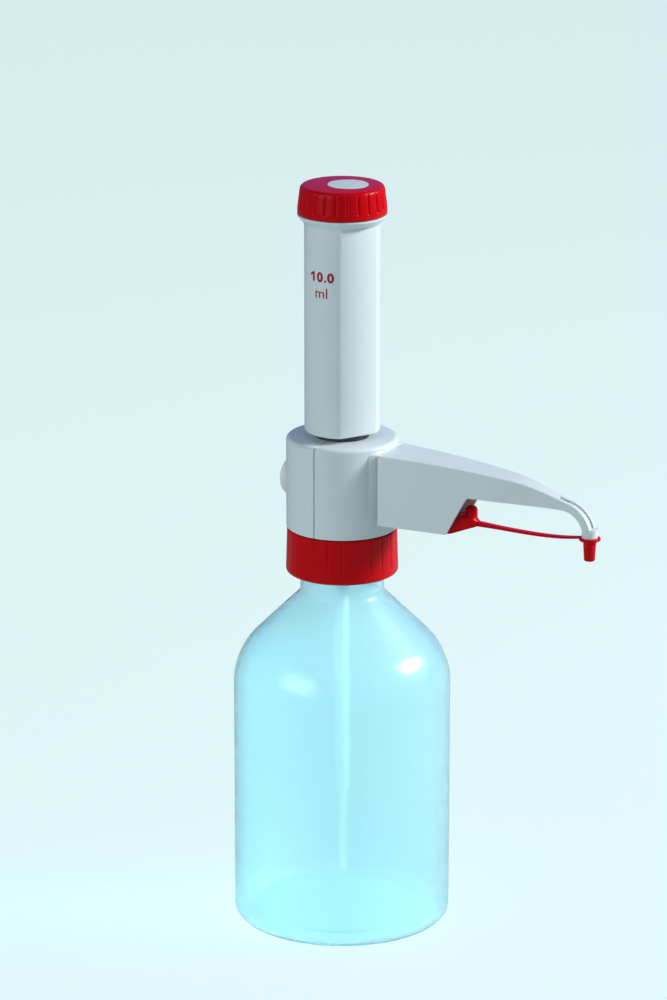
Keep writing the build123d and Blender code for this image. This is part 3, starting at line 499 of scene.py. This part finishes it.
floorTree.links.new(seen.outputs[0], share.inputs[0])
floorTree.links.new(share.outputs[0], floorMix.inputs["Fac"])
floorTree.links.new(floorShader.outputs[0], floorMix.inputs[1])
floorTree.links.new(paleLight.outputs[0], floorMix.inputs[2])
floorTree.links.new(floorMix.outputs[0], floorTree.nodes["Material Output"].inputs["Surface"])
floorMesh.materials.append(floorMaterial)


def areaLight(name, azimuth, elevation, distance, width, height, power, colour, target):
    light = bpy.data.lights.new(name, "AREA")
    light.shape = "RECTANGLE"
    light.size = width
    light.size_y = height
    light.energy = power
    light.color = colour
    lamp = bpy.data.objects.new(name, light)
    bpy.context.scene.collection.objects.link(lamp)
    a, e = math.radians(azimuth), math.radians(elevation)
    direction = Vector((math.cos(e) * math.cos(a), math.cos(e) * math.sin(a), math.sin(e)))
    lamp.location = Vector(target) + distance * direction
    lamp.rotation_euler = direction.to_track_quat("Z", "Y").to_euler()


lamps = [
    dict(name="keyLight", azimuth=31.0, elevation=30.5, distance=1.7, width=0.55, height=0.38,
         power=35.5, colour=(0.93, 0.96, 1.0), target=(0.043, -0.013, 0.1365)),
    dict(name="softFill", azimuth=-109.7, elevation=23.0, distance=1.6, width=1.0, height=0.6,
         power=11.0, colour=(0.90, 0.98, 1.0), target=(0.005, -0.0485, 0.130)),
]
for lampSettings in lamps:
    areaLight(**lampSettings)

# The studio is dim light on the object, deep blue in its gloss and pale behind it
studio = dict(ambient=(0.80, 0.95, 1.0, 1), ambientStrength=0.16, mirrored=(0.04, 0.15, 0.62, 1),
              backdrop=(0.72, 0.93, 0.97, 1))
world = bpy.data.worlds.new("studio")
bpy.context.scene.world = world
world.use_nodes = True
skyNodes, skyLinks = world.node_tree.nodes, world.node_tree.links
ambient = skyNodes["Background"]
ambient.inputs["Color"].default_value = studio["ambient"]
ambient.inputs["Strength"].default_value = studio["ambientStrength"]
mirrored = skyNodes.new("ShaderNodeBackground")
mirrored.inputs["Color"].default_value = studio["mirrored"]
backdrop = skyNodes.new("ShaderNodeBackground")
backdrop.inputs["Color"].default_value = studio["backdrop"]
skyRays = skyNodes.new("ShaderNodeLightPath")
skySeen = skyNodes.new("ShaderNodeMath")
skySeen.operation = "MAXIMUM"
glossMix = skyNodes.new("ShaderNodeMixShader")
skyMix = skyNodes.new("ShaderNodeMixShader")
skyLinks.new(skyRays.outputs["Is Camera Ray"], skySeen.inputs[0])
skyLinks.new(skyRays.outputs["Is Transmission Ray"], skySeen.inputs[1])
skyLinks.new(skyRays.outputs["Is Glossy Ray"], glossMix.inputs["Fac"])
skyLinks.new(ambient.outputs[0], glossMix.inputs[1])
skyLinks.new(mirrored.outputs[0], glossMix.inputs[2])
skyLinks.new(skySeen.outputs[0], skyMix.inputs["Fac"])
skyLinks.new(glossMix.outputs[0], skyMix.inputs[1])
skyLinks.new(backdrop.outputs[0], skyMix.inputs[2])
skyLinks.new(skyMix.outputs[0], skyNodes["World Output"].inputs["Surface"])

view = dict(lens=157.6, sensor=36.0, near=0.05, far=50.0, location=(0.9818, -1.7086, 0.80705),
            direction=(-0.4783, 0.8284, -0.2915))
camera = bpy.data.cameras.new("camera")
camera.lens = view["lens"]
camera.sensor_width = view["sensor"]
camera.clip_start = view["near"]
camera.clip_end = view["far"]
cameraObject = bpy.data.objects.new("camera", camera)
bpy.context.scene.collection.objects.link(cameraObject)
cameraObject.location = view["location"]
cameraObject.rotation_euler = Vector(view["direction"]).to_track_quat("-Z", "Y").to_euler()
bpy.context.scene.camera = cameraObject
bpy.context.scene.view_settings.view_transform = "Standard"
print("stage, lights and camera set")
